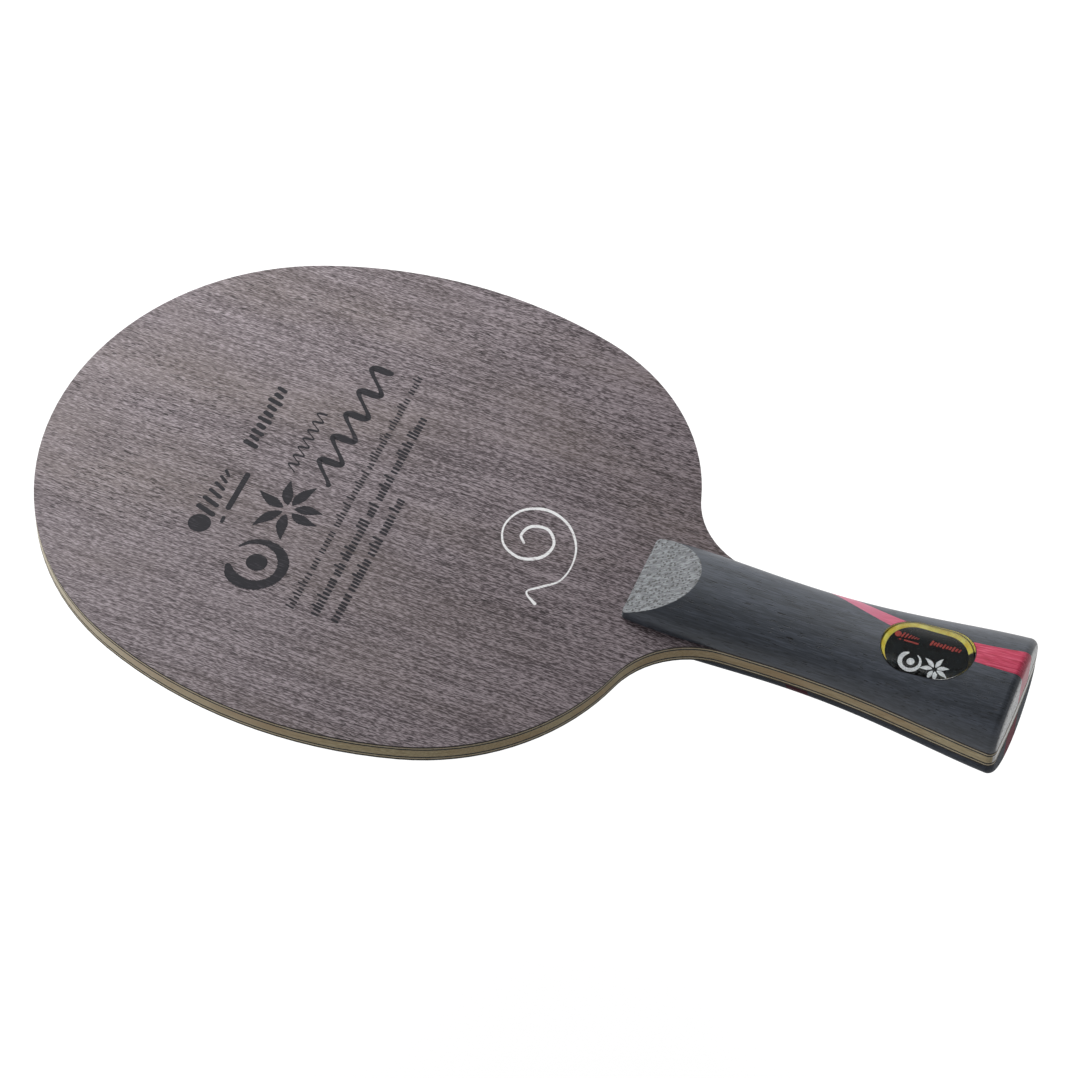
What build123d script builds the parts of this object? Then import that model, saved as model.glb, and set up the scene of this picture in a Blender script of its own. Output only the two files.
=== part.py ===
from build123d import *
from build123d.topology import SkipClean
from math import cos, radians
import os

# Table tennis blade: the paddle without its rubber sheets. Millimetres.
# +X runs from the tip of the head to the butt of the handle, +Z comes out of the front face, which
# carries the badge. The origin is halfway along the length, on the axis, in the core's mid-plane.

# Overall sizes
head_width = 150.0
face_length = 157.0  # tip of the head to the nose of the handle scales
handle_length = 98.0  # nose of the scales to the butt

# Laminate, from the middle outwards
core_thickness = 2.8
carbon_thickness = 0.2
inner_thickness = 0.5
outer_thickness = 0.55

# Head outline: four tangent arcs from the tip to the neck, each as its radius over the head's width
# and the degrees that it turns. Together they turn half a circle.
head_arcs = [(0.491, 31.0), (0.459, 36.9), (0.787, 38.9), (0.396, 73.2)]
neck_radius = 23.5

# Flared handle: its width at the plies and the rise of each scale above the face, at five places
nose_width = 25.8
nose_rise = 7.2
neck_behind_nose = 24.0
neck_width = 26.6
neck_rise = 7.25
waist_behind_nose = 43.0
waist_width = 25.7
waist_rise = 7.3
swell_before_butt = 25.5
swell_width = 29.7
swell_rise = 9.3
butt_width = 35.6
butt_rise = 11.3
butt_crown = 0.5  # how far the middle of the butt stands out past its corners
butt_round = 2.0

# Nose of each scale: a low step, then a flat bevel up to the crown
nose_step = 1.5
nose_bevel_angle = 21.0
nose_corner_round = 1.2

# Coloured stripe let into each scale. Each of its edges is an arc that starts outside the handle's
# side at the waist, given as how far outside, and its y halfway along and at the butt.
stripe_start = 42.0  # behind the nose
stripe_inner_edge = (0.7, 2.0, -0.9)
stripe_outer_edge = (3.9, 6.3, 7.4)

# Badge let into the front scale, a straight-sided oval
badge_length = 23.4
badge_width = 16.2
badge_before_butt = 23.9  # its centre
badge_fit = 0.05  # gap round the cup, the plate and the lens
lens_edge = 0.75  # thickness of the lens where its rim is lowest
cup_rim = 0.2  # wall of the cup round the lens
cup_ledge = 0.2  # what the lens sits on, inside the rim
cup_slope_height = 0.95  # from the ledge down to the plate
cup_wall = 1.4  # wall of the cup at the plate
plate_thickness = 0.5
cup_floor = 0.5

# Places that follow from the sizes above
tip_x = -(face_length + handle_length) / 2
nose_x = tip_x + face_length
butt_x = nose_x + handle_length
carbon_base = core_thickness / 2
inner_base = carbon_base + carbon_thickness
outer_base = inner_base + inner_thickness
face_z = outer_base + outer_thickness
crown_z = face_z + butt_rise
badge_x = butt_x - badge_before_butt
beyond = 10.0  # how far cutting shapes run past what they cut


def handle_section(x, width, rise):
    """A cross-section of the grip: straight sides along the plies, an elliptical dome above and below."""
    half_width = width / 2
    plane = Plane(origin=(x, 0, 0), x_dir=(0, 1, 0), z_dir=(1, 0, 0))
    with BuildSketch(plane) as section_sketch:
        with BuildLine():
            EllipticalCenterArc((0, face_z), half_width, rise, start_angle=0, arc_size=180)
            Line((-half_width, face_z), (-half_width, -face_z))
            EllipticalCenterArc((0, -face_z), half_width, rise, start_angle=180, arc_size=180)
            Line((half_width, -face_z), (half_width, face_z))
        make_face()
    return section_sketch.sketch


def butt_outline():
    """Plan shape that trims the grip: open all round except for the gently crowned butt."""
    corner_x = butt_x - butt_crown
    corner_y = butt_width / 2
    with BuildSketch() as plan:
        with BuildLine():
            crown = ThreePointArc((corner_x, -corner_y), (butt_x, 0), (corner_x, corner_y))
            Polyline(
                crown @ 1,
                (corner_x, corner_y + beyond),
                (nose_x - beyond, corner_y + beyond),
                (nose_x - beyond, -corner_y - beyond),
                (corner_x, -corner_y - beyond),
                crown @ 0,
            )
        make_face()
    return plan.sketch


def grip_body():
    """The whole handle as one body, which the plies and the scales are cut from."""
    sections = [
        handle_section(nose_x, nose_width, nose_rise),
        handle_section(nose_x + neck_behind_nose, neck_width, neck_rise),
        handle_section(nose_x + waist_behind_nose, waist_width, waist_rise),
        handle_section(butt_x - swell_before_butt, swell_width, swell_rise),
        handle_section(butt_x, butt_width, butt_rise),
    ]
    blank = loft(sections)
    blank = blank & extrude(butt_outline(), amount=crown_z + beyond, both=True)
    butt_face = blank.faces().sort_by(Axis.X)[-1]
    return fillet(butt_face.edges(), butt_round)


def head_plan():
    """The head's outline: tangent arcs from the tip to where the handle leaves, and their mirror."""
    heading = 90.0
    unit_half_width = 0.0
    for ratio, turn in head_arcs:
        to_widest = min(turn, heading)
        unit_half_width += ratio * (cos(radians(heading - to_widest)) - cos(radians(heading)))
        heading -= to_widest
    scale = head_width / 2 / unit_half_width
    heading = 90.0
    point = Vector(tip_x, 0)
    with BuildSketch() as plan:
        with BuildLine() as outline:
            for ratio, turn in head_arcs:
                direction = (cos(radians(heading)), -cos(radians(heading + 90)))
                arc = JernArc(point, direction, ratio * scale, -turn)
                point = arc @ 1
                heading -= turn
            Line(point, (point.X, 0))
            mirror(outline.line, about=Plane.XZ)
        make_face()
    return plan.sketch


def blade_plan(grip):
    """The outline that all seven plies share: the head, the handle and the neck curves between them."""
    head = extrude(head_plan(), amount=face_z, both=True)
    handle = grip & Box(4 * handle_length, 2 * head_width, 2 * face_z)
    blank = head + handle
    corners = [
        edge
        for edge in new_edges(head, handle, combined=blank)
        if abs(edge.tangent_at(0.5).Z) > 0.9
    ]
    blank = fillet(corners, neck_radius)
    return section(blank, section_by=Plane.XY)


def ply(plan, base, thickness):
    """One layer of the laminate on the front side."""
    return extrude(Pos(0, 0, base) * plan, amount=thickness)


def outer_ply(plan):
    """The outer layer, with its hitting face and the face under the scale kept as two faces."""
    layer = ply(plan, outer_base, outer_thickness)
    head = split(layer, Plane.YZ.offset(nose_x), keep=Keep.BOTTOM)
    tail = split(layer, Plane.YZ.offset(nose_x), keep=Keep.TOP)
    with SkipClean():
        joined = head + tail
    return joined


def scale_blank(grip):
    """The front scale before it is divided: everything of the grip above the face, bevelled nose."""
    above = Box(4 * handle_length, 2 * head_width, 4 * crown_z, align=(Align.CENTER, Align.CENTER, Align.MIN))
    blank = grip & (Pos(0, 0, face_z) * above)
    slope = radians(nose_bevel_angle)
    bevel = Plane(
        origin=(nose_x, 0, face_z + nose_step),
        x_dir=(cos(slope), 0, cos(radians(90) - slope)),
        z_dir=(-cos(radians(90) - slope), 0, cos(slope)),
    )
    blank = blank - bevel * above
    corners = [
        edge
        for edge in blank.faces().sort_by(Axis.X)[0].edges()
        if abs(edge.tangent_at(0.5).Z) > 0.5
    ]
    return fillet(corners, nose_corner_round)


def beyond_edge(edge):
    """Everything on the far side of one edge of the stripe, as a tall prism."""
    outside, halfway_y, butt_y = edge
    start_x = nose_x + stripe_start
    far_y = butt_width + beyond
    with BuildSketch() as plan:
        with BuildLine():
            curve = ThreePointArc(
                (start_x, waist_width / 2 + outside),
                ((start_x + butt_x) / 2, halfway_y),
                (butt_x, butt_y),
            )
            Polyline(
                curve @ 1,
                (butt_x + beyond, butt_y),
                (butt_x + beyond, far_y),
                (start_x, far_y),
                curve @ 0,
            )
        make_face()
    return extrude(plan.sketch, amount=crown_z + beyond)


def divide(scale):
    """Cuts a scale into its main block, its stripe and its side block."""
    past_inner = beyond_edge(stripe_inner_edge)
    past_outer = beyond_edge(stripe_outer_edge)
    return {
        "main_block": scale - past_inner,
        "stripe": (scale & past_inner) - past_outer,
        "side_block": scale & past_outer,
    }


def oval(inset, z):
    """The badge's outline, drawn in by an inset, at a height."""
    return Pos(badge_x, 0, z) * SlotOverall(badge_length - 2 * inset, badge_width - 2 * inset)


def oval_prism(inset, low, high):
    return extrude(oval(inset, low), amount=high - low)


def badge_levels(grip):
    """Heights in the badge, from the lowest point of its rim on the handle's crown downwards."""
    plug = grip & oval_prism(0, face_z, crown_z + beyond)
    rim_low = min(corner.Z for corner in plug.vertices() if corner.Z > face_z + nose_step)
    levels = {"ledge": rim_low - lens_edge}
    levels["plate_top"] = levels["ledge"] - cup_slope_height
    levels["plate_base"] = levels["plate_top"] - plate_thickness
    levels["cup_base"] = levels["plate_base"] - cup_floor
    return levels


def badge_cup(grip, levels):
    """The cup: a rim round the lens, a narrow ledge under it and a wall sloping in to the plate."""
    outside = oval_prism(badge_fit, levels["cup_base"], crown_z + beyond) & grip
    plate_well = oval_prism(cup_wall, levels["plate_base"], levels["plate_top"])
    slope = loft([oval(cup_wall, levels["plate_top"]), oval(cup_rim + cup_ledge, levels["ledge"])])
    mouth = oval_prism(cup_rim, levels["ledge"], crown_z + beyond)
    return outside - plate_well - slope - mouth


def badge_plate(levels):
    return oval_prism(cup_wall + badge_fit, levels["plate_base"], levels["plate_top"])


def badge_lens(grip, levels):
    """The clear lens: a flat back on the cup's ledge and a top that follows the handle's crown."""
    return oval_prism(cup_rim + badge_fit, levels["ledge"], crown_z + beyond) & grip


def rear(shape):
    """A front piece turned over about the long axis, to the rear of the blade."""
    return Rot(180, 0, 0) * shape


grip = grip_body()
plan = blade_plan(grip)
front_scale = scale_blank(grip)
levels = badge_levels(grip)
pocket = oval_prism(0, levels["cup_base"], crown_z + beyond)

pieces = {"core_ply": extrude(plan, amount=core_thickness / 2, both=True)}
layers = {
    "carbon_ply": ply(plan, carbon_base, carbon_thickness),
    "inner_ply": ply(plan, inner_base, inner_thickness),
    "outer_ply": outer_ply(plan),
}
for name, layer in layers.items():
    pieces[f"front_{name}"] = layer
    pieces[f"rear_{name}"] = rear(layer)
for name, block in divide(front_scale).items():
    pieces[f"front_scale_{name}"] = block - pocket
    pieces[f"rear_scale_{name}"] = rear(block)
pieces["badge_cup"] = badge_cup(grip, levels)
pieces["badge_plate"] = badge_plate(levels)
pieces["badge_lens"] = badge_lens(grip, levels)

os.makedirs("parts", exist_ok=True)
for name, piece in pieces.items():
    export_step(piece, f"parts/{name}.step")
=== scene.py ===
from math import cos, hypot, pi, radians, sin, sqrt
from random import Random

import bpy
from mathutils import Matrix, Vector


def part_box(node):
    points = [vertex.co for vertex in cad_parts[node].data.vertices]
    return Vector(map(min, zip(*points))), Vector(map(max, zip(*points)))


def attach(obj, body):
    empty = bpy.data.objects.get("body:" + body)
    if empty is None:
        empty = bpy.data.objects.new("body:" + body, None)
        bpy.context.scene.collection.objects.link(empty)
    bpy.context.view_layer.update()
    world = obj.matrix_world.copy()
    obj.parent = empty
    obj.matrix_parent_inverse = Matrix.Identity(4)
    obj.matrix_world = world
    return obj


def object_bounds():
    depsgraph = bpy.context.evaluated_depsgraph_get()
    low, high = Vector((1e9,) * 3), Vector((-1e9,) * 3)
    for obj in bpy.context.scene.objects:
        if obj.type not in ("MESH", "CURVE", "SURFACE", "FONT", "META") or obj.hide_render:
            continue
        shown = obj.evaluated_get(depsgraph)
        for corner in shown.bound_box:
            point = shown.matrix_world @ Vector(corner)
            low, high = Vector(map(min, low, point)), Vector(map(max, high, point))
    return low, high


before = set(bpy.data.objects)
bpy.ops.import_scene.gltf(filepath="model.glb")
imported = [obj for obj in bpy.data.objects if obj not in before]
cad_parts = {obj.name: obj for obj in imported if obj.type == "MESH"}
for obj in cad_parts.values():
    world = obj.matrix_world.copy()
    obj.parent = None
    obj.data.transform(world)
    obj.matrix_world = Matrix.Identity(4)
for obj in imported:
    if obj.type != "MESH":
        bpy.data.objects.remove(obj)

cad_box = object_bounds()
MM = 0.001


# ---- Core ply ----
# The middle of the laminate: one 2.8 mm sheet of kiri-like tan wood, sawn with its grain along the
# blade. Only its edge shows, sanded smooth and left without varnish.

def linear(hex_colour):
    """A colour written as sRGB hex, as the linear RGBA that sockets take."""
    shares = [int(hex_colour[i:i + 2], 16) / 255 for i in (1, 3, 5)]
    return [c / 12.92 if c <= 0.04045 else ((c + 0.055) / 1.055) ** 2.4 for c in shares] + [1.0]


def put(tree, kind, inputs, **settings):
    """Adds one shader node, gives it its settings, and sets or links its inputs."""
    node = tree.nodes.new("ShaderNode" + kind)
    for name, value in settings.items():
        setattr(node, name, value)
    for key, value in inputs.items():
        if isinstance(value, bpy.types.NodeSocket):
            tree.links.new(value, node.inputs[key])
        else:
            node.inputs[key].default_value = value
    return node


def finish_of(name, roughness, **sockets):
    """A new material with its surface shader, and the place on the piece in metres."""
    material = bpy.data.materials.new(name)
    material.use_nodes = True
    tree = material.node_tree
    shader = tree.nodes["Principled BSDF"]
    shader.inputs["Roughness"].default_value = roughness
    for key, value in sockets.items():
        shader.inputs[key.replace("_", " ")].default_value = value
    place = put(tree, "TexCoord", {}).outputs["Object"]
    return material, tree, shader, place


def streaks(tree, place, length, width, detail=2.0, shift=0.0):
    """Wood fibre as a 0 to 1 noise: each streak about that many mm long and that many wide."""
    spot = put(tree, "Mapping", {
        "Vector": place,
        "Location": (shift, 1.7 * shift, 0.6 * shift),
        "Scale": (1 / (length * MM), 1 / (width * MM), 1 / (width * MM)),
    })
    noise = put(tree, "TexNoise", {"Vector": spot.outputs[0], "Scale": 1.0, "Detail": detail})
    return noise.outputs[0]


def between(tree, value, low, high, to_low=0.0, to_high=1.0):
    """Stretches a value so that low to high becomes to_low to to_high, held there at both ends."""
    inputs = {"Value": value, "From Min": low, "From Max": high, "To Min": to_low, "To Max": to_high}
    return put(tree, "MapRange", inputs).outputs[0]


def tones(tree, value, *stops):
    """A colour that runs through hex tones as the value goes from 0 to 1, given as (value, hex)."""
    ramp = put(tree, "ValToRGB", {"Fac": value})
    elements = ramp.color_ramp.elements
    while len(elements) < len(stops):
        elements.new(0.5)
    for element, (at, hex_colour) in zip(elements, stops):
        element.position = at
        element.color = linear(hex_colour)
    return ramp.outputs["Color"]


def over(tree, share, under, upper, blend="MIX"):
    """Lays one colour over another by a share, or multiplies it in."""
    return put(tree, "Mix", {0: share, 6: under, 7: upper}, data_type="RGBA", blend_type=blend).outputs[2]


def sums(tree, operation, first, second):
    return put(tree, "Math", {0: first, 1: second}, operation=operation).outputs[0]


def raised(tree, shader, height, depth):
    """Relief from a 0 to 1 height, that many mm deep."""
    bump = put(tree, "Bump", {"Strength": 1.0, "Distance": depth * MM, "Height": height})
    tree.links.new(bump.outputs[0], shader.inputs["Normal"])


def wear(node, *materials):
    """Gives a CAD node its materials, the first of which covers all of it."""
    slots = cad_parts[node].data.materials
    slots.clear()
    for material in materials:
        slots.append(material)


RESIN_BLACK = linear("#0d0c0a")

# Sawn tan wood: soft satin, with long brown fibre lines 0.3 mm apart and slow drifts of tone.
core_wood, tree, shader, place = finish_of("core_wood_sanded", 0.62, Specular_IOR_Level=0.35)
fibre = streaks(tree, place, 9.0, 0.32, shift=3.0)
drift = streaks(tree, place, 45.0, 14.0, shift=8.0)
base = tones(tree, fibre, (0.28, "#b6a480"), (0.5, "#cfbe98"), (0.72, "#e4d6b4"))
base = over(tree, between(tree, drift, 0.42, 0.66, 0.0, 0.55), base, linear("#a87f58"))
# Painted light: the edge is painted paler towards the tip, where the low lamp past the tip lights it.
spot = put(tree, "SeparateXYZ", {0: place})
painted_light_to_tip = between(tree, spot.outputs["X"], -110.0 * MM, -20.0 * MM, 0.6, 0.0)
base = over(tree, painted_light_to_tip, base, linear("#eee8d6"))
# The butt end is end grain, polished with the scales, and painted near white: a painted reflection of the
# white room, seen at a glance.
BUTT_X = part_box("core_ply")[1].x
normal = put(tree, "SeparateXYZ", {0: put(tree, "NewGeometry", {}).outputs["Normal"]}).outputs["X"]
butt = sums(tree, "MULTIPLY", between(tree, normal, 0.7, 0.8),
            between(tree, spot.outputs["X"], BUTT_X - 3.0 * MM, BUTT_X - 2.5 * MM))
base = over(tree, butt, base, linear("#dcdad6"))
tree.links.new(between(tree, butt, 0.0, 1.0, 0.62, 0.35), shader.inputs["Roughness"])
# Black resin has soaked 0.2 mm into the wood beside the carbon.
CARBON_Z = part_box("front_carbon_ply")[0].z
depth = sums(tree, "ABSOLUTE", spot.outputs["Z"], 0.0)
soaked = between(tree, depth, CARBON_Z - 0.2 * MM, CARBON_Z - 0.18 * MM)
base = over(tree, soaked, base, RESIN_BLACK)
tree.links.new(base, shader.inputs["Base Color"])
raised(tree, shader, fibre, 0.02)
wear("core_ply", core_wood)


# ---- Carbon plies ----
# Two sheets of carbon cloth, one on each side of the core, set in hard black resin. At the sanded
# edge they are two thin black lines.

# Cut carbon tows: near black, with a faint change of tone every 6.3 mm.
carbon, tree, shader, place = finish_of("carbon_cloth_cut_edge", 0.5, Specular_IOR_Level=0.15)
TOW_SCALE = 99.471606824548  # a diagonal wave turns ten radians in a length of 1 over the scale
tow = put(tree, "TexWave", {"Vector": place, "Scale": TOW_SCALE, "Distortion": 1.5},
          bands_direction="DIAGONAL")
tree.links.new(tones(tree, tow.outputs["Fac"], (0.0, "#070605"), (1.0, "#12110d")),
               shader.inputs["Base Color"])
for side in ("front", "rear"):
    wear(side + "_carbon_ply", carbon)


# ---- Inner plies ----
# Half-millimetre sheets of pale spruce-like wood between the carbon cloth and the face veneer. Each
# shows as a light line along the edge.

# Pale sliced wood: creamy and dull, with short fibre lines.
pale_wood, tree, shader, place = finish_of("pale_veneer_sanded", 0.62, Specular_IOR_Level=0.35)
fibre = streaks(tree, place, 7.0, 0.3, shift=5.0)
base = tones(tree, fibre, (0.3, "#cdbb96"), (0.7, "#efe4c9"))
INNER_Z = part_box("front_inner_ply")[0].z
depth = sums(tree, "ABSOLUTE", put(tree, "SeparateXYZ", {0: place}).outputs["Z"], 0.0)
soaked = between(tree, depth, INNER_Z + 0.1 * MM, INNER_Z + 0.12 * MM, 1.0, 0.0)
tree.links.new(over(tree, soaked, base, RESIN_BLACK), shader.inputs["Base Color"])
raised(tree, shader, fibre, 0.02)
for side in ("front", "rear"):
    wear(side + "_inner_ply", pale_wood)


# ---- Outer plies ----
# The playing veneers: 0.55 mm of a wenge-like wood, stained purple-grey, with open pores. They are
# glued grain along the blade and only sanded, ready for rubber to be stuck on.

# Stained open-pored wood: dull with a silky sheen, fine fibres, short dark pores and soft ray flecks.
veneer, tree, shader, place = finish_of("stained_wenge_open_pored", 0.55, Specular_IOR_Level=0.15)
sway = put(tree, "TexNoise", {"Vector": place, "Scale": 28.0, "Detail": 1.0})
swayed = put(tree, "VectorMath", {0: sway.outputs["Color"], 1: (0.0, 2.2 * MM, 0.0)}, operation="MULTIPLY")
swayed = put(tree, "VectorMath", {0: place, 1: swayed.outputs[0]}, operation="ADD").outputs[0]
silk = streaks(tree, swayed, 1.4, 0.27, detail=3.0)
strand = streaks(tree, swayed, 22.0, 0.5, detail=2.0, shift=4.0)
cloud = streaks(tree, swayed, 40.0, 7.0, shift=9.0)
tone = sums(tree, "ADD", sums(tree, "MULTIPLY", silk, 0.62), sums(tree, "MULTIPLY", strand, 0.3))
tone = sums(tree, "ADD", tone, sums(tree, "MULTIPLY", cloud, 0.08))
# The fibres stand out more towards the neck, where the veneer was sanded less.
spot = put(tree, "SeparateXYZ", {0: place})
NEAR_TIP_X = -127.0 * MM
contrast = between(tree, spot.outputs["X"], NEAR_TIP_X, 0.0, 0.95, 1.9)
tone = sums(tree, "ADD", sums(tree, "MULTIPLY", sums(tree, "SUBTRACT", tone, 0.5), contrast), 0.5)
base = tones(tree, tone, (0.38, "#534a4e"), (0.46, "#766c70"), (0.54, "#8d8387"), (0.62, "#ada3a8"))
drift = streaks(tree, place, 60.0, 22.0, shift=12.0)
base = over(tree, between(tree, drift, 0.45, 0.7, 0.0, 0.22), base, linear("#85796c"))
# Pores run 0.2 mm wide and 1 to 3 mm long, thicker in some zones than in others.
zone = streaks(tree, place, 45.0, 16.0, shift=2.0)
pore = between(tree, streaks(tree, swayed, 2.0, 0.22, detail=0.0, shift=6.0), 0.65, 0.69)
pore = sums(tree, "MULTIPLY", pore, between(tree, zone, 0.4, 0.6, 0.4, 0.9))
base = over(tree, pore, base, linear("#211a1d"))
# Ray flecks are soft pale blots 2 to 3 mm long, where the board was cut on the quarter.
quarter = sums(tree, "MULTIPLY", between(tree, spot.outputs["Y"], 5.0 * MM, 60.0 * MM),
               between(tree, spot.outputs["X"], -70.0 * MM, -10.0 * MM))
fleck = between(tree, streaks(tree, swayed, 2.6, 1.5, detail=0.0, shift=21.0), 0.52, 0.68, 0.0, 0.4)
base = over(tree, sums(tree, "MULTIPLY", fleck, quarter), base, linear("#a69ca1"))
# Painted light: the veneer is painted paler towards the tip, for the sheen and the stronger light of the lamp
# near the tip.
to_neck = between(tree, spot.outputs["X"], NEAR_TIP_X, 30.0 * MM)
base = over(tree, 1.0, base, tones(tree, to_neck, (0.0, "#ffffff"), (1.0, "#cfcbcc")), "MULTIPLY")
# At the sanded edge the stain goes almost black.
facing = put(tree, "SeparateXYZ", {0: put(tree, "NewGeometry", {}).outputs["Normal"]}).outputs["Z"]
flat = between(tree, sums(tree, "ABSOLUTE", facing, 0.0), 0.3, 0.6)
base = over(tree, flat, linear("#241e1b"), base)
tree.links.new(base, shader.inputs["Base Color"])
raised(tree, shader, sums(tree, "SUBTRACT", silk, pore), 0.04)
for side in ("front", "rear"):
    wear(side + "_outer_ply", veneer)


# ---- Printing on the front face ----
# Ink screen-printed on the bare veneer before play: a brushed ring round a ball, a spray of leaves,
# bars, waves and rows of plain ticks. It is a film two hundredths of a millimetre thick.

FACE_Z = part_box("front_outer_ply")[1].z
INK_FILM = 0.02 * MM
INK_LIFT = 0.004 * MM


def smooth_path(points, widths, step):
    """A smooth curve through the points, as (u, v, width) about every step mm."""
    rows = [(p[0], p[1], w) for p, w in zip(points, widths)]
    rows = [tuple(2 * a - b for a, b in zip(rows[0], rows[1]))] + rows
    rows.append(tuple(2 * a - b for a, b in zip(rows[-1], rows[-2])))
    path = []
    for before, start, end, after in zip(rows, rows[1:], rows[2:], rows[3:]):
        count = max(1, round(hypot(end[0] - start[0], end[1] - start[1]) / step))
        for i in range(count):
            t = i / count
            path.append(tuple(
                0.5 * (2 * b + (c - a) * t + (2 * a - 5 * b + 4 * c - d) * t * t
                       + (3 * b - a - 3 * c + d) * t ** 3)
                for a, b, c, d in zip(before, start, end, after)))
    path.append(rows[-2])
    return path


def brush(points, widths, rough=0.0, step=0.25):
    """One stroke as two rails, left and right, with round ends and edges rough by that many mm."""
    if not isinstance(widths, (list, tuple)):
        widths = [widths] * len(points)
    path = smooth_path(points, widths, step)
    along = [0.0]
    for a, b in zip(path, path[1:]):
        along.append(along[-1] + hypot(b[0] - a[0], b[1] - a[1]))
    shake = Random(round(1000 * along[-1]))
    rails = []
    for i, (u, v, width) in enumerate(path):
        a, b = path[max(0, i - 1)], path[min(len(path) - 1, i + 1)]
        run = hypot(b[0] - a[0], b[1] - a[1])
        nu, nv = -(b[1] - a[1]) / run, (b[0] - a[0]) / run
        half = width / 2
        to_end = min(along[i], along[-1] - along[i])
        if to_end < half:
            half = max(0.02, sqrt(half * half - (half - to_end) ** 2))
        left, right = (half + rough * shake.uniform(-1, 1) * min(1, half) for _ in (0, 1))
        rails.append(((u + nu * left, v + nv * left), (u - nu * right, v - nv * right)))
    return rails


def film(name, strokes, to_place, material):
    """A piece made of closed flat plates, one for each stroke, where to_place(u, v) puts them."""
    points, faces = [], []
    for rails in strokes:
        first = len(points)
        for pair in rails:
            for u, v in pair:
                x, y, z = to_place(u, v)
                points += [(x, y, z), (x, y, z + INK_FILM)]
        for i in range(len(rails) - 1):
            a, b = first + 4 * i, first + 4 * i + 4
            faces += [(a + 1, b + 1, b + 3, a + 3), (a, a + 2, b + 2, b),
                      (a, b, b + 1, a + 1), (a + 2, a + 3, b + 3, b + 2)]
        end = first + 4 * len(rails) - 4
        faces += [(first, first + 1, first + 3, first + 2), (end, end + 2, end + 3, end + 1)]
    mesh = bpy.data.meshes.new(name)
    mesh.from_pydata(points, [], faces)
    mesh.materials.append(material)
    piece = bpy.data.objects.new(name, mesh)
    bpy.context.scene.collection.objects.link(piece)
    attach(piece, "root")
    return piece


def moved(strokes, u, v, size=1.0):
    """The same strokes, made larger or smaller and set at another place."""
    return [[tuple((u + size * p[0], v + size * p[1]) for p in pair) for pair in rails]
            for rails in strokes]


def on_face(u, v):
    """Reads across the head: u runs to the far side, v up towards the tip."""
    return -v * MM, u * MM, FACE_Z + INK_LIFT


def disc(u, v, diameter):
    r = diameter / 2
    return brush([(u - r, v), (u, v), (u + r, v)], diameter, step=diameter / 24)


ring_angles = [radians(112 + 31 * i) for i in range(11)]
ring = [
    brush([(6.9 * cos(a), 6.9 * sin(a)) for a in ring_angles],
          [1.2, 2.9, 3.2, 2.9, 2.6, 2.7, 2.9, 2.5, 1.9, 1.3, 0.5], rough=0.12),
    disc(0.4, -0.2, 5.4),
]
leaf_widths = [0.3, 1.9, 2.9, 2.2, 1.0, 0.2]
leaves = []
for reach, turn, bend in ((9.6, 84, -12), (10.2, 128, 14), (9.8, 176, 16), (9.4, 34, -14),
                          (9.8, -8, -14), (8.6, -62, -16), (8.8, -124, 20)):
    vein = []
    for t in (0.16, 0.3, 0.5, 0.7, 0.88, 1.0):
        heading = radians(turn + bend * t)
        vein.append((0.0 + reach * t * cos(heading), -1.0 + reach * t * sin(heading)))
    leaves.append(brush(vein, leaf_widths, rough=0.1))
bars = [brush([(u - 0.9, -half), (u + 0.9, half)], width, step=0.2)
        for u, half, width in ((-4.6, 2.9, 1.5), (-1.6, 2.5, 1.3), (1.2, 2.1, 1.1), (3.8, 1.7, 1.0),
                               (6.2, 1.3, 0.9), (8.4, 0.9, 0.8))]
emblem = [disc(-9.0, -0.3, 5.8)] + bars + [
    brush([(-2.5, -4.9), (10.5, -4.9)], 1.5), brush([(-7.0, -5.3), (-4.6, -5.1)], 1.0)]
comb = [brush([(u - 0.5, -half), (u + 0.5, half)], width, step=0.2)
        for u, half, width in ((-10.4, 2.2, 1.5), (-8.2, 1.5, 1.2), (-6.2, 1.9, 1.3), (-4.0, 1.4, 1.5),
                               (-1.8, 2.1, 1.2), (0.4, 1.5, 1.4), (2.6, 1.5, 1.3), (4.8, 2.2, 1.3),
                               (7.0, 1.4, 1.4), (9.2, 1.5, 1.2))]


def wave(length, humps, height, thin, thick, lean, rough=0.0):
    """A row of leaning humps, thick going down and thin going up."""
    points, widths = [], []
    for i in range(8 * humps + 1):
        turn = pi * i / 4
        v = -cos(turn) * height / 2
        points.append((-length / 2 + length * i / (8 * humps) + lean * v, v))
        widths.append(thin + (thick - thin) * (0.5 - 0.5 * sin(turn)))
    return brush(points, widths, rough)


def ticks(start, end, v, height, width, seed):
    """A row of leaning ticks in groups, in place of a line of small print."""
    draw, row, u = Random(seed), [], start
    while u < end - 1.0:
        for _ in range(draw.randint(4, 13)):
            top = height * draw.choice((0.68, 0.68, 0.72, 1.0))
            if u < end:
                row.append(brush([(u, v), (u + 0.2 * top, v + top)], width, step=0.3))
            u += draw.choice((0.95, 1.05, 1.3))
        u += 1.1
    return row


# Screen ink: charcoal and dull, and thinner over the pores.
ink, tree, shader, place = finish_of("charcoal_screen_ink", 0.6, Specular_IOR_Level=0.12)
starved = between(tree, streaks(tree, place, 2.6, 0.24, detail=1.0, shift=6.0), 0.58, 0.72)
tree.links.new(over(tree, starved, linear("#201f25"), linear("#3c393f")), shader.inputs["Base Color"])
raised(tree, shader, streaks(tree, place, 4.5, 0.42, detail=3.0), 0.03)

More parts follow.
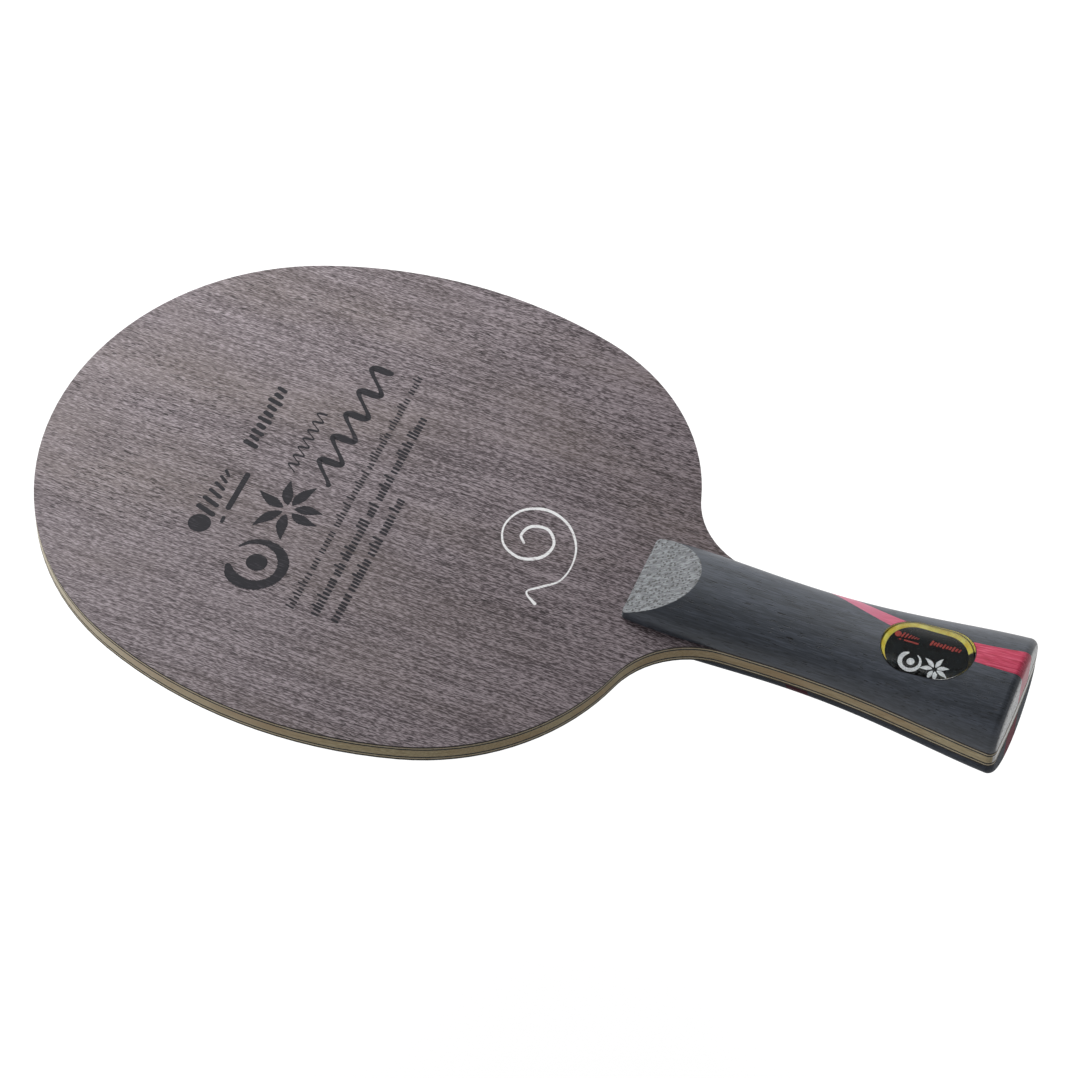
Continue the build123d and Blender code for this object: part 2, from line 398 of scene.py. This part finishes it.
film("print_ring_and_ball", moved(ring, -32.0, 59.6), on_face, ink)
film("print_leaf_spray", moved(leaves, -13.2, 60.0), on_face, ink)
film("print_maker_mark_left", moved(emblem, -16.6, 78.0), on_face, ink)
film("print_maker_mark_right", moved(comb, 13.2, 76.6), on_face, ink)
thin_wave = [wave(21.0, 7, 2.6, 0.3, 0.7, 0.3)]
film("print_thin_wave", moved(thin_wave, 9.2, 63.9), on_face, ink)
bold_wave = [wave(41.5, 5, 5.6, 0.9, 2.2, 0.55, rough=0.06)]
film("print_bold_wave", moved(bold_wave, 19.6, 55.6), on_face, ink)
film("print_tick_rows",
     ticks(-41.4, 40.8, 45.0, 2.6, 0.5, 11) + ticks(-41.2, 27.4, 38.5, 3.2, 0.7, 12)
     + ticks(-41.2, 0.2, 33.2, 3.2, 0.7, 13), on_face, ink)


# ---- Flourish on the front face ----
# A free hand flourish in white paint marker, a snail-like spiral with a wavy tail, drawn on the bare
# veneer between the printing and the handle.

# Paint marker: chalky white, and patchy where the pen ran dry over the pores.
marker, tree, shader, place = finish_of("white_paint_marker", 0.6)
dry = between(tree, streaks(tree, place, 1.4, 0.3, detail=1.0, shift=1.0), 0.52, 0.7)
tree.links.new(over(tree, dry, linear("#e9e9ea"), linear("#c3bec0")), shader.inputs["Base Color"])
snail = [(-17.5, -9.0), (-14.6, -5.4), (-11.8, -8.0), (-8.2, -11.6), (-2.6, -12.6), (3.8, -11.2),
         (9.4, -6.8), (11.6, -0.4), (9.0, 5.4), (3.0, 7.6), (-2.8, 5.4), (-5.2, 0.0), (-2.8, -4.8),
         (2.0, -6.0), (5.8, -3.0), (5.2, 1.2), (1.8, 2.6), (-0.6, 0.8)]
pen_widths = [0.9, 0.45, 0.7, 0.5, 0.45, 0.55, 0.7, 0.9, 0.7, 0.5, 0.6, 0.9, 0.95, 0.7, 0.85, 0.95, 0.7, 0.6]
swirl = brush(snail, pen_widths, rough=0.08, step=0.2)
film("flourish_white_marker", [swirl], on_face, marker)


# ---- Handle scales ----
# Two half-round scales of grey-dyed laminated wood, glued to the plies and sanded in one with them.
# Each nose is cut to a bevel that bares the end grain, coloured a paler grey, and the front one shows end
# grain again at its butt, painted near white as a painted reflection.

NOSE_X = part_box("front_scale_main_block")[0].x
BEVEL = radians(21.0)
BEVEL_FOOT = FACE_Z + 1.5 * MM


def dyed_scale_wood(name, roughness, specular, end_low):
    """Grey-dyed wood with its end grain bared on the bevel, and on the butt above end_low, where it is
    painted near white as a painted reflection.
    """
    material, tree, shader, place = finish_of(name, roughness, Specular_IOR_Level=specular)
    silk = streaks(tree, place, 5.0, 0.34, detail=3.0, shift=11.0)
    cloud = streaks(tree, place, 30.0, 3.2, shift=13.0)
    tone = sums(tree, "ADD", sums(tree, "MULTIPLY", silk, 0.6), sums(tree, "MULTIPLY", cloud, 0.4))
    dyed = tones(tree, tone, (0.3, "#2e3238"), (0.5, "#41464e"), (0.7, "#585e6a"))
    pore = between(tree, streaks(tree, place, 2.6, 0.24, detail=0.0, shift=15.0), 0.71, 0.77)
    dyed = over(tree, pore, dyed, linear("#121417"))
    # End grain: mid grey with growth lines and a black dot in each 0.9 mm cell, where a pore is cut.
    # Real pores are finer, and are drawn this coarse so that they show.
    dots = put(tree, "TexVoronoi", {"Vector": place, "Scale": 1 / (0.9 * MM)})
    dot = between(tree, dots.outputs["Distance"], 0.33, 0.36, 1.0, 0.0)
    turned = put(tree, "Mapping", {"Vector": place, "Rotation": (0.0, 0.0, -0.4)})
    lines = streaks(tree, turned.outputs[0], 12.0, 0.45, shift=17.0)
    grey = tones(tree, lines, (0.36, "#3c3f43"), (0.5, "#565a5e"), (0.64, "#75797d"))
    spot = put(tree, "SeparateXYZ", {0: place})
    normal = put(tree, "SeparateXYZ", {0: put(tree, "NewGeometry", {}).outputs["Normal"]})
    # The butt has been sanded finer than the bevel and is glossier; it is painted near white, a painted
    # reflection of the white room seen at a glance.
    end = sums(tree, "MULTIPLY", between(tree, normal.outputs["X"], 0.8, 0.92),
               between(tree, spot.outputs["Z"], end_low, end_low + 1.0 * MM))
    grey = over(tree, end, grey, linear("#cfd1d3"))
    grey = over(tree, sums(tree, "MULTIPLY", dot, between(tree, end, 0.0, 1.0, 1.0, 0.6)), grey,
                linear("#0c0d0e"))
    out = sums(tree, "ABSOLUTE", spot.outputs["Z"], 0.0)
    above = sums(tree, "SUBTRACT",
                 sums(tree, "MULTIPLY", sums(tree, "SUBTRACT", out, BEVEL_FOOT), cos(BEVEL)),
                 sums(tree, "MULTIPLY", sums(tree, "SUBTRACT", spot.outputs["X"], NOSE_X), sin(BEVEL)))
    bevel = sums(tree, "MAXIMUM", between(tree, above, -0.05 * MM, -0.03 * MM),
                 between(tree, normal.outputs["X"], -0.8, -0.55, 1.0, 0.0))
    cut = sums(tree, "MAXIMUM", bevel, end)
    tree.links.new(over(tree, cut, dyed, grey), shader.inputs["Base Color"])
    tree.links.new(sums(tree, "ADD", between(tree, bevel, 0.0, 1.0, roughness, 0.6),
                        between(tree, end, 0.0, 1.0, 0.0, -0.07)), shader.inputs["Roughness"])
    pits = sums(tree, "MAXIMUM", pore, sums(tree, "MULTIPLY", dot, cut))
    raised(tree, shader, sums(tree, "SUBTRACT", silk, pits), 0.025)
    return material


# Dyed wood: blue-charcoal, grain lines a third of a millimetre apart. The front scale has a satin polish and
# a painted reflection on its butt; the rear one is dull and has no painted reflection, so it stays dark to
# its very end.
grey_woods = {
    "front": dyed_scale_wood("grey_dyed_wood_satin", 0.42, 0.45, -3.0 * MM),
    "rear": dyed_scale_wood("grey_dyed_wood_dull", 0.6, 0.05, 0.0),
}
for side, wood in grey_woods.items():
    for block in ("main", "side"):
        wear(f"{side}_scale_{block}_block", wood)


# ---- Stripes ----
# A curved strip of red-dyed veneer glued between the two blocks of each scale before shaping, so it
# runs right through and shows again on the butt.

def dyed_stripe_wood(name, roughness, specular, thin_end, dark, middle, light):
    """Red-dyed veneer with paler fibre lines, its colour turning to the thin_end colour towards its thin end.
    """
    material, tree, shader, place = finish_of(name, roughness, Specular_IOR_Level=specular)
    fibre = streaks(tree, place, 6.0, 0.4, detail=3.0, shift=19.0)
    red = tones(tree, fibre, (0.3, dark), (0.5, middle), (0.7, light))
    along = put(tree, "SeparateXYZ", {0: place}).outputs["X"]
    thin_end_tone_and_shade = between(tree, along, 86.0 * MM, 104.0 * MM, 0.85, 0.0)
    red = over(tree, thin_end_tone_and_shade, red, linear(thin_end))
    tree.links.new(red, shader.inputs["Base Color"])
    raised(tree, shader, fibre, 0.03)
    return material


# Dyed veneer: rose red with a satin polish in front, paling at its thin end. At the rear it is dull and
# painted dark maroon, almost black at its thin end: painted shade under the handle.
wear("front_scale_stripe", dyed_stripe_wood("red_dyed_wood_satin", 0.42, 0.45, "#c07088",
                                            "#a6223f", "#c23355", "#d65a78"))
wear("rear_scale_stripe", dyed_stripe_wood("red_dyed_wood_dull_painted_shade", 0.6, 0.05, "#33161f",
                                           "#5a1827", "#6f2135", "#863045"))


# ---- Badge cup and plate ----
# A small gold-painted cup pressed into a pocket in the front scale, with a black plate on its floor.
# The rim is painted black where it meets the wood.

LEDGE_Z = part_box("badge_lens")[0].z

# Gold paint, warm yellow and satin, on the far and tip sides of the cup, and black on the rest.
gilt, tree, shader, place = finish_of("gold_and_black_paint", 0.34)
spot = put(tree, "SeparateXYZ", {0: place})
badge_x = (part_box("badge_lens")[0].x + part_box("badge_lens")[1].x) / 2
to_butt = sums(tree, "SUBTRACT", spot.outputs["X"], badge_x)
gilded = sums(tree, "ADD", sums(tree, "MULTIPLY", to_butt, -0.385),
              sums(tree, "MULTIPLY", spot.outputs["Y"], 0.923))
gilded = between(tree, gilded, -1.0 * MM, -0.6 * MM)
top = put(tree, "SeparateXYZ", {0: put(tree, "NewGeometry", {}).outputs["Normal"]}).outputs["Z"]
rim = sums(tree, "MULTIPLY", between(tree, top, 0.4, 0.5),
           between(tree, spot.outputs["Z"], LEDGE_Z + 0.15 * MM, LEDGE_Z + 0.2 * MM))
gilded = sums(tree, "SUBTRACT", gilded, rim)
mottle = put(tree, "TexNoise", {"Vector": place, "Scale": 1 / (2.5 * MM), "Detail": 2.0}).outputs[0]
gold = tones(tree, mottle, (0.35, "#f4d21c"), (0.65, "#fff474"))
tree.links.new(over(tree, gilded, linear("#0e0f12"), gold), shader.inputs["Base Color"])
wear("badge_cup", gilt)

# Black plate: gloss enamel, deep black with a clear reflection and the faintest orange peel.
enamel, tree, shader, place = finish_of("black_gloss_enamel", 0.15, Specular_IOR_Level=0.18)
peel = put(tree, "TexNoise", {"Vector": place, "Scale": 1 / (1.2 * MM), "Detail": 1.0}).outputs[0]
tree.links.new(tones(tree, peel, (0.3, "#0d1214"), (0.7, "#151b1e")), shader.inputs["Base Color"])
raised(tree, shader, peel, 0.002)
wear("badge_plate", enamel)


# ---- Badge printing ----
# The same marks again, small, printed on the underside of the lens: ring and leaves in white, and
# the two maker's marks in red.

def under_lens(u, v):
    """Reads along the handle: u runs to the butt, v to the far side."""
    return u * MM, v * MM, LEDGE_Z - 0.03 * MM


# Badge inks: flat and opaque, one white, one vermilion.
badge_inks = {}
for name, low, high in (("white_badge_ink", "#c9ccd0", "#e6e8ea"),
                        ("vermilion_badge_ink", "#a02c22", "#bb3a2c")):
    badge_inks[name], tree, shader, place = finish_of(name, 0.5)
    speck = put(tree, "TexNoise", {"Vector": place, "Scale": 1 / (0.4 * MM), "Detail": 1.0}).outputs[0]
    tree.links.new(tones(tree, speck, (0.35, low), (0.65, high)), shader.inputs["Base Color"])
film("badge_print_white", moved(ring, 100.6, -4.0, 0.36) + moved(leaves, 106.9, -3.9, 0.38),
     under_lens, badge_inks["white_badge_ink"])
film("badge_print_red", moved(emblem, 97.9, 2.7, 0.29) + moved(comb, 107.6, 2.7, 0.36),
     under_lens, badge_inks["vermilion_badge_ink"])


# ---- Badge lens ----
# A clear acrylic window glued on the cup's ledge, its top sanded and polished to the curve of the
# handle.

# Polished acrylic: clear, colourless and sharp, with the softest ripple left by the polishing.
acrylic, tree, shader, place = finish_of("clear_acrylic_polished", 0.03, Transmission_Weight=1.0, IOR=1.49)
ripple = put(tree, "TexNoise", {"Vector": place, "Scale": 1 / (4.0 * MM), "Detail": 1.0}).outputs[0]
tree.links.new(tones(tree, ripple, (0.3, "#f4f7f7"), (0.7, "#ffffff")), shader.inputs["Base Color"])
raised(tree, shader, ripple, 0.004)
wear("badge_lens", acrylic)


# ---- Studio ----
# A white floor under soft light: one lamp close by the tip, a larger one further off behind it, a low
# one past the tip on the near side, and a pale room all round.

FLOOR_Z = cad_box[0].z - 0.07

# Painted floor: matt grey, self-lit almost to white where it is seen, so that only deep shadow shows.
floor_paint, tree, shader, place = finish_of("matt_white_floor", 0.9, Specular_IOR_Level=0.1)
shader.inputs["Base Color"].default_value = linear("#7c7c7c")
path = put(tree, "LightPath", {})
seen = sums(tree, "MAXIMUM", path.outputs["Is Camera Ray"],
            sums(tree, "MAXIMUM", path.outputs["Is Glossy Ray"], path.outputs["Is Transmission Ray"]))
shader.inputs["Emission Color"].default_value = linear("#ffffff")
tree.links.new(sums(tree, "MULTIPLY", seen, 0.93), shader.inputs["Emission Strength"])
mesh = bpy.data.meshes.new("floor")
FLOOR_REACH = 4.0
floor_corners = [(x * FLOOR_REACH, y * FLOOR_REACH, FLOOR_Z) for x, y in ((-1, -1), (1, -1), (1, 1), (-1, 1))]
mesh.from_pydata(floor_corners, [], [(0, 1, 2, 3)])
mesh.materials.append(floor_paint)
floor = bpy.data.objects.new("floor", mesh)
bpy.context.scene.collection.objects.link(floor)

world = bpy.data.worlds.new("white_room")
bpy.context.scene.world = world
world.use_nodes = True
tree = world.node_tree
path = put(tree, "LightPath", {})
# In gloss and glass the white walls show up to 20 degrees, and fade into a dim ceiling.
height = put(tree, "SeparateXYZ", {0: put(tree, "TexCoord", {}).outputs["Generated"]}).outputs["Z"]
mirrored = sums(tree, "MAXIMUM", path.outputs["Is Glossy Ray"], path.outputs["Is Transmission Ray"])
room = over(tree, mirrored, linear("#8c8c8c"), tones(tree, height, (0.35, "#ffffff"), (0.65, "#626262")))
# The lamps do not reach what is under the lens, so the light that comes in through it is white and
# a third stronger.
let_in = sums(tree, "MULTIPLY", path.outputs["Is Transmission Ray"],
              sums(tree, "MINIMUM", path.outputs["Diffuse Depth"], 1.0))
room = over(tree, let_in, room, (1.35, 1.35, 1.35, 1.0))
room = over(tree, path.outputs["Is Camera Ray"], room, linear("#ffffff"))
tree.links.new(room, tree.nodes["Background"].inputs["Color"])


def lamp(name, at, aim, size, watts):
    """A square soft lamp, facing its aim."""
    light = bpy.data.lights.new(name, "AREA")
    light.shape = "SQUARE"
    light.size = size
    light.energy = watts
    holder = bpy.data.objects.new(name, light)
    holder.location = at
    back = holder.location - type(holder.location)(aim)
    holder.rotation_euler = back.to_track_quat("Z", "Y").to_euler()
    holder.visible_transmission = False
    bpy.context.scene.collection.objects.link(holder)


lamp("tip_lamp", (-0.40, 0.36, 0.34), (-0.03, 0.0, 0.0), 0.35, 3.2)
lamp("back_lamp", (-0.60, 0.72, 0.46), (0.0, 0.0, 0.0), 0.6, 5.0)
lamp("near_lamp", (-1.20, -0.42, 0.12), (0.0, 0.0, 0.0), 0.6, 6.6)

camera = bpy.data.cameras.new("camera")
camera.sensor_width = 36.0
camera.lens = 141.123
holder = bpy.data.objects.new("camera", camera)
holder.location = (0.23540, -0.61892, 0.81302)
holder.rotation_euler = (radians(39.2993), radians(-1.0674), radians(21.9119))
bpy.context.scene.collection.objects.link(holder)
bpy.context.scene.camera = holder
bpy.context.scene.view_settings.view_transform = "Standard"

bpy.context.view_layer.update()
